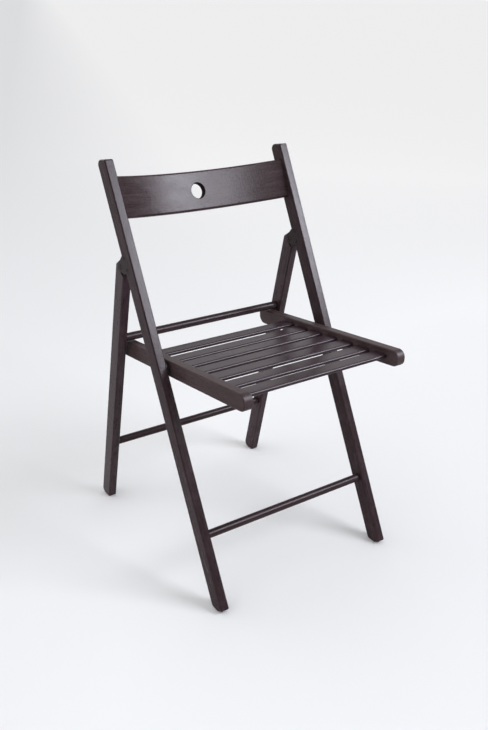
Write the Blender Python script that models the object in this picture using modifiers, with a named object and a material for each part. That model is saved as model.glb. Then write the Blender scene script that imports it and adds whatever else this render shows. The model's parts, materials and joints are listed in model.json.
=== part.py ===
"""Wooden folding chair, open for sitting.

Two long legs run from the front feet to the top of the back and carry a bent back panel.
A rear frame hangs behind them on flush hinge plates, and a slatted seat turns between them.
Metres, +Z up, front towards -Y, origin on the floor under the middle of the chair.
"""

import math

import bmesh
import bpy
from mathutils import Matrix, Vector

# Fits
GAP = 0.0003
CUT_OVERRUN = 0.001

# Long legs: places along the leg are stacked from the floor up to its top
CHAIR_WIDTH = 0.4326
LEG_THICKNESS = 0.019
LEG_DEPTH = 0.0327
LONG_LEG_LEAN = math.radians(29.26)
FRONT_RUNG_ALONG = 0.1577
SEAT_PIVOT_ALONG = 0.4917
HINGE_ABOVE_SEAT = 0.2102
PANEL_ABOVE_HINGE = 0.1254
TOP_ABOVE_PANEL = 0.0699
BLIND_WALL = 0.006
LONG_LEG_TOE = 0.0091
LONG_FOOT_ROUND = 0.008
LEG_TOP_SLOPE = math.radians(18.9)
LEG_TOP_ROUND = 0.010
LEG_CORNER_ROUND = 0.003
LEG_EDGE_ROUND = 0.002

# Rear legs
REAR_LEG_LEAN = math.radians(10.43)
REAR_FOOT_ROUND = 0.012
REAR_PIVOT_INSET = 0.0109
FOLDED_GAP = 0.002
HEAD_RISE = 0.016
HEAD_SLOPE = math.radians(7)
HEAD_ROUND = 0.003

# Hinge plates, pins and rivets
PLATE_THICKNESS = 0.002
PLATE_HALF_HEIGHT = 0.022
PLATE_HALF_WAIST = 0.018
PLATE_LET_IN = 0.0184
PLATE_CORNER_ROUND = 0.003
PLATE_LOBE_RADIUS = 0.011
HINGE_PIN_RADIUS = 0.003
RIVET_RADIUS = 0.002
RIVET_SPREAD = 0.024
RIVET_INSET = 0.008

# Rungs
RUNG_RADIUS = 0.0084
LOWER_RUNG_BELOW_HINGE = 0.447
RUNG_REST_GAP = 0.0012

# Seat rails
SEAT_TILT = math.radians(7.86)
RAIL_THICKNESS = 0.0205
RAIL_HEIGHT = 0.0326
RAIL_FRONT_REACH = 0.2595
RAIL_PAST_RUNG = 0.0255
NOSE_TOP_ROUND = 0.0145
NOSE_BOTTOM_ROUND = 0.0145
TAIL_TOP_ROUND = 0.003
TAIL_BOTTOM_ROUND = 0.017
RAIL_EDGE_ROUND = 0.002

# Slats from back to front: how far each one's top lies below the rail tops
SLAT_DROPS = (0.0085, 0.0114, 0.0103, 0.0100, 0.0103, 0.0120, 0.0123)
SLAT_WIDTH = 0.035
SLAT_THICKNESS = 0.0081
SLAT_EDGE_ROUND = 0.0036
SLAT_SPACING = 0.01287
SLAT_NOSE_INSET = 0.0305
SLAT_TENON = 0.006
SLAT_SHOULDER = 0.0012

# Seat pivot pins, bushes and spacers
SEAT_PIN_RADIUS = 0.004
RAIL_WEB = 0.0024
BUSH_WALL = 0.002
SPACER_RADIUS = 0.011
SPACER_THICKNESS = 0.0067

# Back panel
PANEL_HEIGHT = 0.0807
PANEL_THICKNESS = 0.013
PANEL_HOLLOW = 0.0375
PANEL_INSET = 0.0121
PANEL_TILT = math.radians(6.0)
PANEL_TENON = 0.006
PANEL_EDGE_ROUND = 0.003
PANEL_HOLE_RADIUS = 0.0158

# Facets
ARC_STEP = math.radians(18)
SHARP_ANGLE = math.radians(40)
EDGE_SEGMENTS = 2
ROUND_SIDES = 24
SMALL_ROUND_SIDES = 16
PANEL_STEPS = 16
FULLEST_ROUND = 0.45

# Places worked out from the sizes above
LEG_INNER_X = CHAIR_WIDTH / 2 - LEG_THICKNESS
LEG_MIDDLE_X = CHAIR_WIDTH / 2 - LEG_THICKNESS / 2
RAIL_OUTER_X = LEG_INNER_X - SPACER_THICKNESS - 2 * GAP
RAIL_INNER_X = RAIL_OUTER_X - RAIL_THICKNESS
RAIL_MIDDLE_X = RAIL_OUTER_X - RAIL_THICKNESS / 2
HINGE_ALONG = SEAT_PIVOT_ALONG + HINGE_ABOVE_SEAT
HINGE_STANDOFF = REAR_PIVOT_INSET + FOLDED_GAP
HINGE_BEHIND = LEG_DEPTH + HINGE_STANDOFF
PANEL_ALONG = HINGE_ALONG + PANEL_ABOVE_HINGE
LONG_LEG_LENGTH = PANEL_ALONG + TOP_ABOVE_PANEL
REAR_MIDDLE = LEG_DEPTH / 2 - REAR_PIVOT_INSET
FOLD_ANGLE = LONG_LEG_LEAN + REAR_LEG_LEAN
BLIND_DEPTH = LEG_THICKNESS - BLIND_WALL
BUSH_LENGTH = RAIL_THICKNESS - SLAT_TENON - RAIL_WEB
BUSH_RADIUS = SEAT_PIN_RADIUS + GAP + BUSH_WALL
SIDES = (("left", -1), ("right", 1))


def side_frame(y, z, lean):
    """Axes of a leaning side-view frame: X runs behind it, Y along it and Z across the chair."""
    c = math.cos(lean)
    s = math.sin(lean)
    return Matrix(((0, 0, 1, 0), (c, s, 0, y), (-s, c, 0, z), (0, 0, 0, 1)))


def side_point(frame, behind, along):
    """World Y and Z of a point given in a side-view frame."""
    point = frame @ Vector((behind, along, 0))
    return point.y, point.z


def layout(foot_y):
    """Frames of the long legs, rear legs and seat, with the front feet starting at foot_y."""
    front = side_frame(foot_y, 0, LONG_LEG_LEAN)
    rear = side_frame(*side_point(front, HINGE_BEHIND, HINGE_ALONG), -REAR_LEG_LEAN)
    seat = side_frame(*side_point(front, LEG_DEPTH / 2, SEAT_PIVOT_ALONG), SEAT_TILT)
    return front, rear, seat


def floor_along(frame, behind):
    """Distance along a leaning frame at which a line at the given depth meets the floor."""
    return -(frame @ Vector((behind, 0, 0))).z / frame[2][1]


def centred_layout():
    """The layout moved so that the nose of the seat and the rear feet lie equally far from the origin."""
    front, rear, seat = layout(0)
    nose = seat @ Vector((-RAIL_FRONT_REACH + NOSE_BOTTOM_ROUND, -RAIL_HEIGHT / 2 + NOSE_BOTTOM_ROUND, 0))
    heel_behind = LEG_DEPTH - REAR_PIVOT_INSET
    heel = rear @ Vector((heel_behind, floor_along(rear, heel_behind), 0))
    heel_set_back = REAR_FOOT_ROUND * (1 / math.tan(math.pi / 4 - REAR_LEG_LEAN / 2) - 1)
    return layout(-(nose.y - NOSE_BOTTOM_ROUND + heel.y - heel_set_back) / 2)


FRONT, REAR, SEAT = centred_layout()


def upper_rung_along():
    """Place along the rear leg at which the upper rung lies just over the seat rails."""
    to_seat = SEAT.inverted() @ REAR
    at_hinge = (to_seat @ Vector((REAR_MIDDLE, 0, 0))).y
    return (RAIL_HEIGHT / 2 + RUNG_REST_GAP + RUNG_RADIUS - at_hinge) / to_seat[1][1]


UPPER_RUNG = (REAR_MIDDLE, upper_rung_along())
LOWER_RUNG = (REAR_MIDDLE, -LOWER_RUNG_BELOW_HINGE)
FRONT_RUNG = (LEG_DEPTH / 2, FRONT_RUNG_ALONG)
SEAT_PIVOT = (LEG_DEPTH / 2, SEAT_PIVOT_ALONG)
RAIL_REAR_REACH = (SEAT.inverted() @ REAR @ Vector((*UPPER_RUNG, 0))).x + RAIL_PAST_RUNG


def clear_scene():
    for thing in list(bpy.data.objects):
        bpy.data.objects.remove(thing, do_unlink=True)
    for group in list(bpy.data.collections):
        bpy.data.collections.remove(group)


def new_collection(name):
    group = bpy.data.collections.new(name)
    bpy.context.scene.collection.children.link(group)
    return group


def finish(name, colour, roughness, metallic):
    """A plain material: an sRGB colour, a roughness and a metallic value."""
    material = bpy.data.materials.new(name)
    material.use_nodes = True
    shader = material.node_tree.nodes["Principled BSDF"]
    linear = [((c / 255 + 0.055) / 1.055) ** 2.4 for c in colour]
    shader.inputs["Base Color"].default_value = (*linear, 1)
    shader.inputs["Roughness"].default_value = roughness
    shader.inputs["Metallic"].default_value = metallic
    material.diffuse_color = (*linear, 1)
    return material


clear_scene()
PARTS = new_collection("wooden_folding_chair")
CUTTERS = new_collection("cutters")
STAINED_WOOD = finish("stained_lacquered_beech", (68, 60, 56), 0.35, 0.0)
PAINTED_STEEL = finish("painted_steel", (62, 55, 52), 0.4, 0.0)
BARE_STEEL = finish("zinc_plated_steel", (150, 150, 148), 0.35, 1.0)
NYLON = finish("black_nylon", (28, 28, 28), 0.5, 0.0)


def pivot_empty(name, frame):
    empty = bpy.data.objects.new(name, None)
    empty.matrix_world = frame
    PARTS.objects.link(empty)
    return empty


def add_object(name, mesh, parent, location, material):
    """A named part under its frame, or a cutter when it has no material."""
    thing = bpy.data.objects.new(name, mesh)
    thing.parent = parent
    thing.location = location
    if material is None:
        thing.hide_render = True
        thing.display_type = "WIRE"
        CUTTERS.objects.link(thing)
    else:
        mesh.materials.append(material)
        PARTS.objects.link(thing)
    return thing


def rounded(corners):
    """Outline through corners given as (x, y, radius), with an arc in place of each round corner."""
    points = []
    for index, (x, y, radius) in enumerate(corners):
        corner = Vector((x, y))
        if radius == 0:
            points.append(corner)
            continue
        back = (Vector(corners[index - 1][:2]) - corner).normalized()
        ahead = (Vector(corners[(index + 1) % len(corners)][:2]) - corner).normalized()
        half = back.angle(ahead) / 2
        centre = corner + (back + ahead).normalized() * (radius / math.sin(half))
        spoke = corner + back * (radius / math.tan(half)) - centre
        turn = math.copysign(math.pi - 2 * half, ahead.cross(back))
        steps = max(2, math.ceil(abs(turn) / ARC_STEP))
        points += [centre + Matrix.Rotation(turn * k / steps, 2) @ spoke for k in range(steps + 1)]
    return points


def arc(centre, radius, start, end):
    """Corners along an arc, without rounding of their own."""
    steps = math.ceil(abs(end - start) / ARC_STEP)
    turns = [start + (end - start) * k / steps for k in range(steps + 1)]
    return [(centre[0] + radius * math.cos(t), centre[1] + radius * math.sin(t), 0) for t in turns]


def solid_mesh(name, outline, length):
    """A flat outline, filled and extruded equally to both sides, as a closed mesh."""
    curve = bpy.data.curves.new(name, "CURVE")
    curve.dimensions = "2D"
    curve.fill_mode = "BOTH"
    curve.extrude = length / 2
    spline = curve.splines.new("POLY")
    spline.points.add(len(outline) - 1)
    for point, place in zip(spline.points, outline):
        point.co = (place[0], place[1], 0, 1)
    spline.use_cyclic_u = True
    guide = bpy.data.objects.new(name, curve)
    CUTTERS.objects.link(guide)
    evaluated = guide.evaluated_get(bpy.context.evaluated_depsgraph_get())
    mesh = bpy.data.meshes.new_from_object(evaluated)
    bpy.data.objects.remove(guide)
    mesh.name = name
    shape = bmesh.new()
    shape.from_mesh(mesh)
    bmesh.ops.remove_doubles(shape, verts=shape.verts, dist=1e-6)
    bmesh.ops.dissolve_limit(shape, angle_limit=math.radians(1), verts=shape.verts, edges=shape.edges)
    bmesh.ops.recalc_face_normals(shape, faces=shape.faces)
    shape.to_mesh(mesh)
    shape.free()
    return mesh


def bar(name, outline, length, parent, x, material=None, edge_round=0):
    """A bar or plate with the given side outline, lying across the chair at x."""
    thing = add_object(name, solid_mesh(name, outline, length), parent, (0, 0, x), material)
    if edge_round:
        bevel = thing.modifiers.new("edge_round", "BEVEL")
        bevel.width = edge_round
        bevel.segments = EDGE_SEGMENTS
        bevel.limit_method = "ANGLE"
        bevel.angle_limit = SHARP_ANGLE
    return thing


def rod(name, radius, length, parent, place, material=None, sides=ROUND_SIDES):
    """A round rod across the chair; place is its centre in the parent's frame."""
    mesh = bpy.data.meshes.new(name)
    shape = bmesh.new()
    bmesh.ops.create_cone(shape, cap_ends=True, segments=sides, radius1=radius, radius2=radius, depth=length)
    shape.to_mesh(mesh)
    shape.free()
    mesh.shade_smooth()
    mesh.set_sharp_from_angle(angle=SHARP_ANGLE)
    return add_object(name, mesh, parent, place, material)


def combine(thing, operation, *others):
    for other in others:
        modifier = thing.modifiers.new(other.name, "BOOLEAN")
        modifier.operation = operation
        modifier.object = other


def cut(thing, *cutters):
    combine(thing, "DIFFERENCE", *cutters)


def long_leg_outline():
    floor_back = floor_along(FRONT, LEG_DEPTH)
    level_start = LONG_LEG_TOE / math.tan(LONG_LEG_LEAN)
    return rounded((
        (0, LONG_LEG_TOE, LEG_CORNER_ROUND),
        (level_start, LONG_LEG_TOE, 0),
        (LEG_DEPTH, floor_back, LONG_FOOT_ROUND),
        (LEG_DEPTH, LONG_LEG_LENGTH + LEG_DEPTH * math.tan(LEG_TOP_SLOPE), LEG_TOP_ROUND),
        (0, LONG_LEG_LENGTH, LEG_CORNER_ROUND),
    ))


def rear_leg_outline():
    """The head is mitred to lie against the long leg's back face, which stops the frame when it is open."""
    front_x = -REAR_PIVOT_INSET
    back_x = LEG_DEPTH - REAR_PIVOT_INSET
    turn = Matrix.Rotation(-FOLD_ANGLE, 2)
    stop = GAP - HINGE_STANDOFF
    tip = turn @ Vector((stop, HEAD_RISE))
    mitre = turn @ Vector((0, 1))
    top = turn @ Vector((math.cos(HEAD_SLOPE), -math.sin(HEAD_SLOPE)))
    mitre_start = tip + mitre * ((front_x - tip.x) / mitre.x)
    top_end = tip + top * ((back_x - tip.x) / top.x)
    return rounded((
        (front_x, floor_along(REAR, front_x), LEG_CORNER_ROUND),
        (back_x, floor_along(REAR, back_x), REAR_FOOT_ROUND),
        (back_x, top_end.y, HEAD_ROUND),
        (tip.x, tip.y, HEAD_ROUND),
        (front_x, mitre_start.y, 0),
    ))


def lobe_tangent(point, radius):
    """Angle at which a line from the point touches the plate's round lobe about the pin."""
    away = math.acos(radius / point.length)
    return math.atan2(point.y, point.x) - math.copysign(away, point.y)


def plate_outline(clearance):
    """Hinge plate about its pin: a let-in front, with a round lobe that carries the rear leg."""
    lobe = PLATE_LOBE_RADIUS + clearance
    half = PLATE_HALF_HEIGHT + clearance
    waist = PLATE_HALF_WAIST + clearance
    front = -(HINGE_STANDOFF + PLATE_LET_IN + clearance)
    upper = Vector((-HINGE_STANDOFF, waist))
    lower = Vector((-HINGE_STANDOFF, -waist))
    return rounded((
        (front, -half, PLATE_CORNER_ROUND),
        (*lower, 0),
        *arc((0, 0), lobe, lobe_tangent(lower, lobe), lobe_tangent(upper, lobe)),
        (*upper, 0),
        (front, half, PLATE_CORNER_ROUND),
    ))


def head_recess_outline():
    """Ground that a hinge plate sweeps over the rear leg's head, from open to folded."""
    lobe = PLATE_LOBE_RADIUS + GAP
    waist = PLATE_HALF_WAIST + GAP
    reach = HINGE_STANDOFF + PLATE_LET_IN + PLATE_HALF_HEIGHT
    lower = Vector((-HINGE_STANDOFF, -waist))
    upper = Vector((-HINGE_STANDOFF, waist))
    upper_angle = lobe_tangent(upper, lobe) - FOLD_ANGLE
    upper.rotate(Matrix.Rotation(-FOLD_ANGLE, 2))
    return rounded((
        (-reach, -waist, 0),
        (*lower, 0),
        *arc((0, 0), lobe, lobe_tangent(lower, lobe), upper_angle),
        (*upper, 0),
        (-reach, reach, 0),
    ))


def rail_outline():
    half = RAIL_HEIGHT / 2
    return rounded((
        (-RAIL_FRONT_REACH, -half, NOSE_BOTTOM_ROUND),
        (RAIL_REAR_REACH, -half, TAIL_BOTTOM_ROUND),
        (RAIL_REAR_REACH, half, TAIL_TOP_ROUND),
        (-RAIL_FRONT_REACH, half, NOSE_TOP_ROUND),
    ))


def slat_outline(index, clearance=0):
    """Section of one slat in the seat's frame, or of its narrower tenon when the clearance is negative."""
    slats_ahead = len(SLAT_DROPS) - 1 - index
    front = SLAT_NOSE_INSET - RAIL_FRONT_REACH + slats_ahead * (SLAT_WIDTH + SLAT_SPACING) - clearance
    back = front + SLAT_WIDTH + 2 * clearance
    top = RAIL_HEIGHT / 2 - SLAT_DROPS[index] + clearance
    bottom = top - SLAT_THICKNESS - 2 * clearance
    radius = min(SLAT_EDGE_ROUND, FULLEST_ROUND * SLAT_THICKNESS) + clearance
    return rounded((
        (front, bottom, radius),
        (back, bottom, radius),
        (back, top, radius),
        (front, top, radius),
    ))


def panel_frame():
    """Frame at the middle of the panel's hollow face: X across, Y to the back and Z up the panel."""
    lean = LONG_LEG_LEAN - PANEL_TILT
    c = math.cos(lean)
    s = math.sin(lean)
    end = FRONT @ Vector((PANEL_INSET, PANEL_ALONG, 0))
    middle = end + Vector((0, c, -s)) * PANEL_HOLLOW
    return Matrix(((1, 0, 0, 0), (0, c, s, middle.y), (0, -s, c, middle.z), (0, 0, 0, 1)))


def panel_outline(clearance=0):
    """Plan of the bent panel: two arcs about one centre in front of it, cut square to the legs."""
    radius = (LEG_INNER_X ** 2 + PANEL_HOLLOW ** 2) / (2 * PANEL_HOLLOW)
    end_x = LEG_INNER_X + PANEL_TENON + clearance
    outline = []
    for face_radius, way in ((radius - clearance, -1), (radius + PANEL_THICKNESS + clearance, 1)):
        spread = math.asin(end_x / face_radius)
        for k in range(PANEL_STEPS + 1):
            angle = way * spread * (1 - 2 * k / PANEL_STEPS)
            outline.append((face_radius * math.sin(angle), face_radius * math.cos(angle) - radius))
    return outline


def bore(name, radius, length, parent, place, sides=ROUND_SIDES):
    """Cutter for a round hole with the common clearance."""
    return rod(name, radius + GAP, length, parent, place, sides=sides)


def build_back_panel():
    """The bent panel with its hole; returns the cutter that houses its ends in the long legs."""
    frame = pivot_empty("panel_place", panel_frame())
    panel = bar("back_panel", panel_outline(), PANEL_HEIGHT, frame, 0, STAINED_WOOD, PANEL_EDGE_ROUND)
    hole_length = 2 * (PANEL_THICKNESS + PANEL_HOLE_RADIUS)
    hole = rod("panel_hole", PANEL_HOLE_RADIUS, hole_length, frame, (0, 0, 0))
    hole.rotation_euler = (math.pi / 2, 0, 0)
    cut(panel, hole)
    return bar("panel_housing", panel_outline(GAP), PANEL_HEIGHT + 2 * GAP, frame, 0)


def build_hinge(side, way, hinge):
    """Plates, pin and rivets of one side; returns the cutters that let them into the long leg."""
    cutters = []
    rivet_behind = -(HINGE_STANDOFF + PLATE_LET_IN) + RIVET_INSET
    rivet_places = [(rivet_behind, sign * RIVET_SPREAD / 2) for sign in (-1, 1)]
    through = LEG_THICKNESS + 2 * CUT_OVERRUN
    middle = way * LEG_MIDDLE_X
    pin_bore = bore(f"pin_bore_{side}", HINGE_PIN_RADIUS, through, hinge, (0, 0, middle), SMALL_ROUND_SIDES)
    rivet_bores = [
        bore(f"rivet_bore_{side}_{k}", RIVET_RADIUS, through, hinge, (*place, middle), SMALL_ROUND_SIDES)
        for k, place in enumerate(rivet_places)
    ]
    for face, outward in (("outer", way), ("inner", -way)):
        face_x = middle + outward * LEG_THICKNESS / 2
        plate_x = face_x - outward * PLATE_THICKNESS / 2
        name = f"hinge_plate_{face}_{side}"
        plate = bar(name, plate_outline(0), PLATE_THICKNESS, hinge, plate_x, PAINTED_STEEL)
        cut(plate, pin_bore, *rivet_bores)
        pocket_depth = PLATE_THICKNESS + GAP + CUT_OVERRUN
        pocket_x = face_x + outward * (CUT_OVERRUN - pocket_depth / 2)
        cutters.append(bar(f"plate_pocket_{face}_{side}", plate_outline(GAP), pocket_depth, hinge, pocket_x))
    rod(f"hinge_pin_{side}", HINGE_PIN_RADIUS, LEG_THICKNESS, hinge, (0, 0, middle),
        PAINTED_STEEL, SMALL_ROUND_SIDES)
    for name, place in zip(("lower", "upper"), rivet_places):
        rod(f"plate_rivet_{name}_{side}", RIVET_RADIUS, LEG_THICKNESS, hinge, (*place, middle),
            PAINTED_STEEL, SMALL_ROUND_SIDES)
    return cutters + rivet_bores


def blind_cutter_length(depth):
    return depth + GAP + CUT_OVERRUN


def blind_cutter_x(way, face_x, depth):
    """Middle of a blind hole's cutter, which starts just off an inner face and runs outwards into the bar."""
    return way * (face_x + (depth + GAP - CUT_OVERRUN) / 2)


def rung_hole(name, way, parent, place):
    x = blind_cutter_x(way, LEG_INNER_X, BLIND_DEPTH)
    return bore(name, RUNG_RADIUS, blind_cutter_length(BLIND_DEPTH), parent, (*place, x))


def build_long_leg(side, way, front, cutters):
    leg = bar(f"long_leg_{side}", long_leg_outline(), LEG_THICKNESS, front, way * LEG_MIDDLE_X,
              STAINED_WOOD, LEG_EDGE_ROUND)
    pin_x = blind_cutter_x(way, LEG_INNER_X, BLIND_DEPTH)
    pin_hole = bore(f"seat_pin_hole_{side}", SEAT_PIN_RADIUS, blind_cutter_length(BLIND_DEPTH), front,
                    (*SEAT_PIVOT, pin_x), SMALL_ROUND_SIDES)
    cut(leg, rung_hole(f"front_rung_hole_{side}", way, front, FRONT_RUNG), pin_hole, *cutters)


def build_rear_leg(side, way, rear):
    leg = bar(f"rear_leg_{side}", rear_leg_outline(), LEG_THICKNESS, rear, way * LEG_MIDDLE_X,
              STAINED_WOOD, LEG_EDGE_ROUND)
    cutters = [
        bore(f"head_bore_{side}", HINGE_PIN_RADIUS, LEG_THICKNESS + 2 * CUT_OVERRUN, rear,
             (0, 0, way * LEG_MIDDLE_X), SMALL_ROUND_SIDES),
        rung_hole(f"upper_rung_hole_{side}", way, rear, UPPER_RUNG),
        rung_hole(f"lower_rung_hole_{side}", way, rear, LOWER_RUNG),
    ]
    for face, outward in (("outer", way), ("inner", -way)):
        depth = PLATE_THICKNESS + GAP + CUT_OVERRUN
        face_x = way * LEG_MIDDLE_X + outward * LEG_THICKNESS / 2
        recess_x = face_x + outward * (CUT_OVERRUN - depth / 2)
        cutters.append(bar(f"head_recess_{face}_{side}", head_recess_outline(), depth, rear, recess_x))
    cut(leg, *cutters)


def build_seat_rail(side, way, seat):
    rail = bar(f"seat_rail_{side}", rail_outline(), RAIL_THICKNESS, seat, way * RAIL_MIDDLE_X,
               STAINED_WOOD, RAIL_EDGE_ROUND)
    housing_x = blind_cutter_x(way, RAIL_INNER_X, SLAT_TENON)
    housing_length = blind_cutter_length(SLAT_TENON)
    tenon_fit = GAP - SLAT_SHOULDER
    housings = [
        bar(f"slat_housing_{k + 1}_{side}", slat_outline(k, tenon_fit), housing_length, seat, housing_x)
        for k in range(len(SLAT_DROPS))
    ]
    bush_x = way * (RAIL_OUTER_X - (BUSH_LENGTH + GAP - CUT_OVERRUN) / 2)
    bush_hole = bore(f"bush_hole_{side}", BUSH_RADIUS, blind_cutter_length(BUSH_LENGTH), seat, (0, 0, bush_x))
    cut(rail, bush_hole, *housings)


def build_slat(index, seat):
    """A slat between the rails, with a shouldered tenon at each end."""
    slat = bar(f"slat_{index + 1}", slat_outline(index), 2 * (RAIL_INNER_X - GAP), seat, 0, STAINED_WOOD)
    core_length = 2 * (RAIL_INNER_X + SLAT_TENON)
    core = bar(f"slat_core_{index + 1}", slat_outline(index, -SLAT_SHOULDER), core_length, seat, 0)
    combine(slat, "UNION", core)


def build_seat_pivot(side, way, front, seat):
    """Pin and spacer held by the long leg, and the bush that turns on the pin with the rail."""
    pin_length = BLIND_DEPTH + LEG_INNER_X - RAIL_OUTER_X + BUSH_LENGTH
    pin_x = way * (RAIL_OUTER_X - BUSH_LENGTH + pin_length / 2)
    rod(f"seat_pin_{side}", SEAT_PIN_RADIUS, pin_length, front, (*SEAT_PIVOT, pin_x),
        BARE_STEEL, SMALL_ROUND_SIDES)
    spacer_x = way * (LEG_INNER_X + RAIL_OUTER_X) / 2
    spacer = rod(f"seat_spacer_{side}", SPACER_RADIUS, SPACER_THICKNESS, front,
                 (*SEAT_PIVOT, spacer_x), NYLON)
    bush_x = way * (RAIL_OUTER_X - BUSH_LENGTH / 2)
    bush = rod(f"seat_bush_{side}", BUSH_RADIUS, BUSH_LENGTH, seat, (0, 0, bush_x), NYLON)
    pin_bore = bore(f"seat_pin_bore_{side}", SEAT_PIN_RADIUS, pin_length + 2 * CUT_OVERRUN, front,
                    (*SEAT_PIVOT, pin_x), SMALL_ROUND_SIDES)
    cut(spacer, pin_bore)
    cut(bush, pin_bore)


def build_chair():
    front = pivot_empty("front_frame", FRONT)
    rear = pivot_empty("rear_frame", REAR)
    seat = pivot_empty("seat_frame", SEAT)
    hinge = pivot_empty("hinge_place", FRONT @ Matrix.Translation((HINGE_BEHIND, HINGE_ALONG, 0)))
    panel_housing = build_back_panel()
    rung_length = 2 * (LEG_INNER_X + BLIND_DEPTH)
    rod("front_rung", RUNG_RADIUS, rung_length, front, (*FRONT_RUNG, 0), STAINED_WOOD)
    rod("upper_rung", RUNG_RADIUS, rung_length, rear, (*UPPER_RUNG, 0), STAINED_WOOD)
    rod("lower_rung", RUNG_RADIUS, rung_length, rear, (*LOWER_RUNG, 0), STAINED_WOOD)
    for side, way in SIDES:
        build_long_leg(side, way, front, [panel_housing, *build_hinge(side, way, hinge)])
        build_rear_leg(side, way, rear)
        build_seat_rail(side, way, seat)
        build_seat_pivot(side, way, front, seat)
    for k in range(len(SLAT_DROPS)):
        build_slat(k, seat)
    bpy.context.view_layer.update()


build_chair()
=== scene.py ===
"""Looks of a wooden folding chair: finely worked wood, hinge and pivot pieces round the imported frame.

Metres, in the frame's own axes: +Z up, front towards -Y. Left is the -X side.
"""

import json
import math

import bmesh
import bpy
from mathutils import Matrix, Vector


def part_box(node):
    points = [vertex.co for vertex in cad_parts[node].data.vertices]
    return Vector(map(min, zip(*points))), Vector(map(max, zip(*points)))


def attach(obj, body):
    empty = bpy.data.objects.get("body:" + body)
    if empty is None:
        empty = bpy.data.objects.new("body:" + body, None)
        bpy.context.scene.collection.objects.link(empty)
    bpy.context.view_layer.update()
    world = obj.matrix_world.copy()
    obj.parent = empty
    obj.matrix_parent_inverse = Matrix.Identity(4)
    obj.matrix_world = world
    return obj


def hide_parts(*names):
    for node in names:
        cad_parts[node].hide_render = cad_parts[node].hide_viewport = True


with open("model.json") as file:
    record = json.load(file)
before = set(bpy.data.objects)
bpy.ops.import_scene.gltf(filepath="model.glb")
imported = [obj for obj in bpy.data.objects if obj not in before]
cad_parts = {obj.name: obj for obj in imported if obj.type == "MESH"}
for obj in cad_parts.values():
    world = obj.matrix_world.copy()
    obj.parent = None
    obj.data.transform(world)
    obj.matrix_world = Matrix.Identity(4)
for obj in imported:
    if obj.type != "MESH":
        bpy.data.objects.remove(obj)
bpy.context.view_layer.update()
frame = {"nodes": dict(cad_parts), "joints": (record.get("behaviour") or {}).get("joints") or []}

SIDES = (("left", -1), ("right", 1))

# Bodies and pivots from the frame
FRONT_BODY = "front_frame"
REAR_BODY = "rear_frame"
SEAT_BODY = "seat"
PIVOTS = {joint["name"]: Vector(joint["pos_m"]) for joint in frame["joints"]}
HINGE = PIVOTS["rear_leg_fold"]
SEAT_PIVOT = PIVOTS["seat_fold"]

# Leans of the bars in side view
LONG_LEG_LEAN = math.radians(29.26)
REAR_LEG_LEAN = math.radians(10.43)
SEAT_TILT = math.radians(7.86)
FOLD_ANGLE = LONG_LEG_LEAN + REAR_LEG_LEAN

# Sections of the bars
LEG_DEPTH = 0.0327
LEG_EDGE_ROUND = 0.0028
RAIL_HEIGHT = 0.0326
RAIL_EDGE_ROUND = 0.0026

# Ends of the long legs
LONG_LEG_TOE = 0.0091
LONG_FOOT_ROUND = 0.008
LEG_TOP_SLOPE = math.radians(18.9)
LEG_TOP_ROUND = 0.010
LEG_CORNER_ROUND = 0.003
SEAT_PIVOT_ALONG = 0.4917
LONG_LEG_LENGTH = 0.8971

# Ends of the rear legs
REAR_FOOT_ROUND = 0.0124
REAR_PIVOT_INSET = 0.0109
FOLDED_GAP = 0.002
HEAD_RISE = 0.016
HEAD_SLOPE = math.radians(7)
HEAD_ROUND = 0.003

# Hinge plates and their heads
PLATE_THICKNESS = 0.002
PLATE_HALF_HEIGHT = 0.022
PLATE_HALF_WAIST = 0.018
PLATE_LET_IN = 0.0184
PLATE_CORNER_ROUND = 0.003
PLATE_EDGE_ROUND = 0.0004
PLATE_LOBE_RADIUS = 0.011
RIVET_SPREAD = 0.024
RIVET_INSET = 0.008
RIVET_HEAD_RADIUS = 0.0032
PIN_HEAD_RADIUS = 0.0046
HEAD_DOME = 0.0009

# Seat
RAIL_FRONT_REACH = 0.25935
RAIL_PAST_RUNG = 0.0255
NOSE_TOP_ROUND = 0.0145
NOSE_BOTTOM_ROUND = 0.0145
TAIL_TOP_ROUND = 0.003
TAIL_BOTTOM_ROUND = 0.017
SLAT_COUNT = 7
SLAT_WIDTH = 0.035
SLAT_THICKNESS = 0.0081
SLAT_EDGE_ROUND = 0.0036
SLAT_HOUSING = 0.006
SPACER_EDGE_ROUND = 0.0008

# Back panel
PANEL_ALONG = 0.8273
PANEL_HEIGHT = 0.0807
PANEL_THICKNESS = 0.013
PANEL_HOLLOW = 0.0375
PANEL_INSET = 0.0121
PANEL_TILT = math.radians(6.0)
PANEL_HOUSING = 0.006
PANEL_EDGE_ROUND = 0.0045
PANEL_HOLE_RADIUS = 0.0158
HOLE_RIM_ROUND = 0.0012

# Fits and facets
GAP = 0.0003
CUT_OVERRUN = 0.001
QUARTER = math.pi / 2
ARC_STEP = math.radians(7.5)
SHARP_ANGLE = math.radians(35)
EDGE_SEGMENTS = 4
ROUND_SIDES = 64
SMALL_ROUND_SIDES = 32
PANEL_STEPS = 56

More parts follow.
